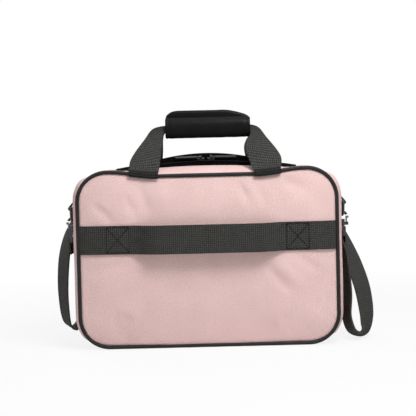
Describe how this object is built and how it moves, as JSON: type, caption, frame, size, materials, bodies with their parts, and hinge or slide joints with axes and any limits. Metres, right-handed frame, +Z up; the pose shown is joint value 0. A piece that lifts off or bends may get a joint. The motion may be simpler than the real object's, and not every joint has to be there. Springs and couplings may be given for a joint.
{
  "type": "soft-sided train case",
  "caption": "Soft-sided train case with padded panels, a zipped top, carrying handles with grips, a trolley strap across the back and a hanging shoulder strap.",
  "frame": {"origin": "middle of the base, on the surface that the case stands on", "axes": "+Z up, +X to the right as seen from the back, the back panel and its trolley strap face -Y"},
  "size_m": [0.4413, 0.1757, 0.3182],
  "materials": {
    "pink_twill": "woven twill, matt",
    "foam": "open-cell foam",
    "lining_cloth": "thin woven lining",
    "piping": "woven cover on a cord",
    "webbing": "ribbed webbing",
    "zip_tape": "zip tape and coil",
    "leatherette": "smooth, satin",
    "board": "fibre board",
    "black_plastic": "moulded",
    "dark_metal": "gunmetal",
    "bright_metal": "nickel plated"
  },
  "bodies": {
    "bag": {"back_foam": "foam", "front_foam": "foam", "back_panel": "pink_twill", "front_panel": "pink_twill", "base_gusset": "pink_twill", "left_gusset": "pink_twill", "right_gusset": "pink_twill", "back_piping": "piping", "front_piping": "piping", "lining": "lining_cloth", "base_board": "board", "trolley_strap": "webbing", "zip_end_right": "zip_tape", "zip_end_left": "zip_tape", "d_ring_right": "bright_metal", "d_ring_left": "bright_metal", "d_tab_right": "webbing", "d_tab_left": "webbing", "snap_hook_right": "bright_metal", "snap_hook_left": "bright_metal", "shoulder_strap": "webbing"},
    "back_handle": {"back_handle_strap": "webbing", "back_grip": "leatherette"},
    "front_handle": {"front_handle_strap": "webbing", "front_grip": "leatherette"},
    "back_flap": {"back_top_strip": "pink_twill", "back_zip_tape": "zip_tape"},
    "front_flap": {"front_top_strip": "pink_twill", "front_zip_tape": "zip_tape"},
    "slider_right": {"zip_slider_right": "dark_metal"},
    "slider_left": {"zip_slider_left": "dark_metal"},
    "pull_right": {"zip_pull_right": "dark_metal"},
    "pull_left": {"zip_pull_left": "dark_metal"},
    "bolt_right": {"hook_bolt_right": "bright_metal"},
    "bolt_left": {"hook_bolt_left": "bright_metal"},
    "adjuster": {"strap_adjuster": "black_plastic"}
  },
  "joints": [
    {"name": "back_handle_fold", "type": "hinge", "parent": "bag", "child": "back_handle", "pos_m": [0, -0.0635, 0.2412], "axis": [1, 0, 0], "range_deg": [0, 135]},
    {"name": "front_handle_fold", "type": "hinge", "parent": "bag", "child": "front_handle", "pos_m": [0, 0.0635, 0.2412], "axis": [-1, 0, 0], "range_deg": [0, 135]},
    {"name": "back_flap_open", "type": "hinge", "parent": "bag", "child": "back_flap", "pos_m": [0, -0.0618, 0.2367], "axis": [-1, 0, 0], "range_deg": [0, 80]},
    {"name": "front_flap_open", "type": "hinge", "parent": "bag", "child": "front_flap", "pos_m": [0, 0.0618, 0.2367], "axis": [1, 0, 0], "range_deg": [0, 80]},
    {"name": "zip_right_run", "type": "hinge", "parent": "bag", "child": "slider_right", "pos_m": [0, -0.012, -0.31963], "axis": [0, 1, 0], "range_deg": [0, 9.23]},
    {"name": "zip_right_pull_flip", "type": "hinge", "parent": "slider_right", "child": "pull_right", "pos_m": [0.00708, -0.01376, 0.25478], "axis": [-0.0038, -0.9511, -0.309], "range_deg": [0, 90]},
    {"name": "hook_right_bolt", "type": "slide", "parent": "bag", "child": "bolt_right", "axis": [0, 0, -1], "range_m": [0, 0.005], "stiffness_N_per_m": 300, "springref_m": -0.002},
    {"name": "zip_left_run", "type": "hinge", "parent": "bag", "child": "slider_left", "pos_m": [0, -0.012, -0.31963], "axis": [0, -1, 0], "range_deg": [0, 9.23]},
    {"name": "zip_left_pull_flip", "type": "hinge", "parent": "slider_left", "child": "pull_left", "pos_m": [-0.00708, -0.01376, 0.25478], "axis": [-0.0038, 0.9511, 0.309], "range_deg": [0, 90]},
    {"name": "hook_left_bolt", "type": "slide", "parent": "bag", "child": "bolt_left", "axis": [0, 0, -1], "range_m": [0, 0.005], "stiffness_N_per_m": 300, "springref_m": -0.002},
    {"name": "strap_adjust", "type": "slide", "parent": "bag", "child": "adjuster", "axis": [1, 0, 0], "range_m": [-0.06, 0.015]}
  ]
}
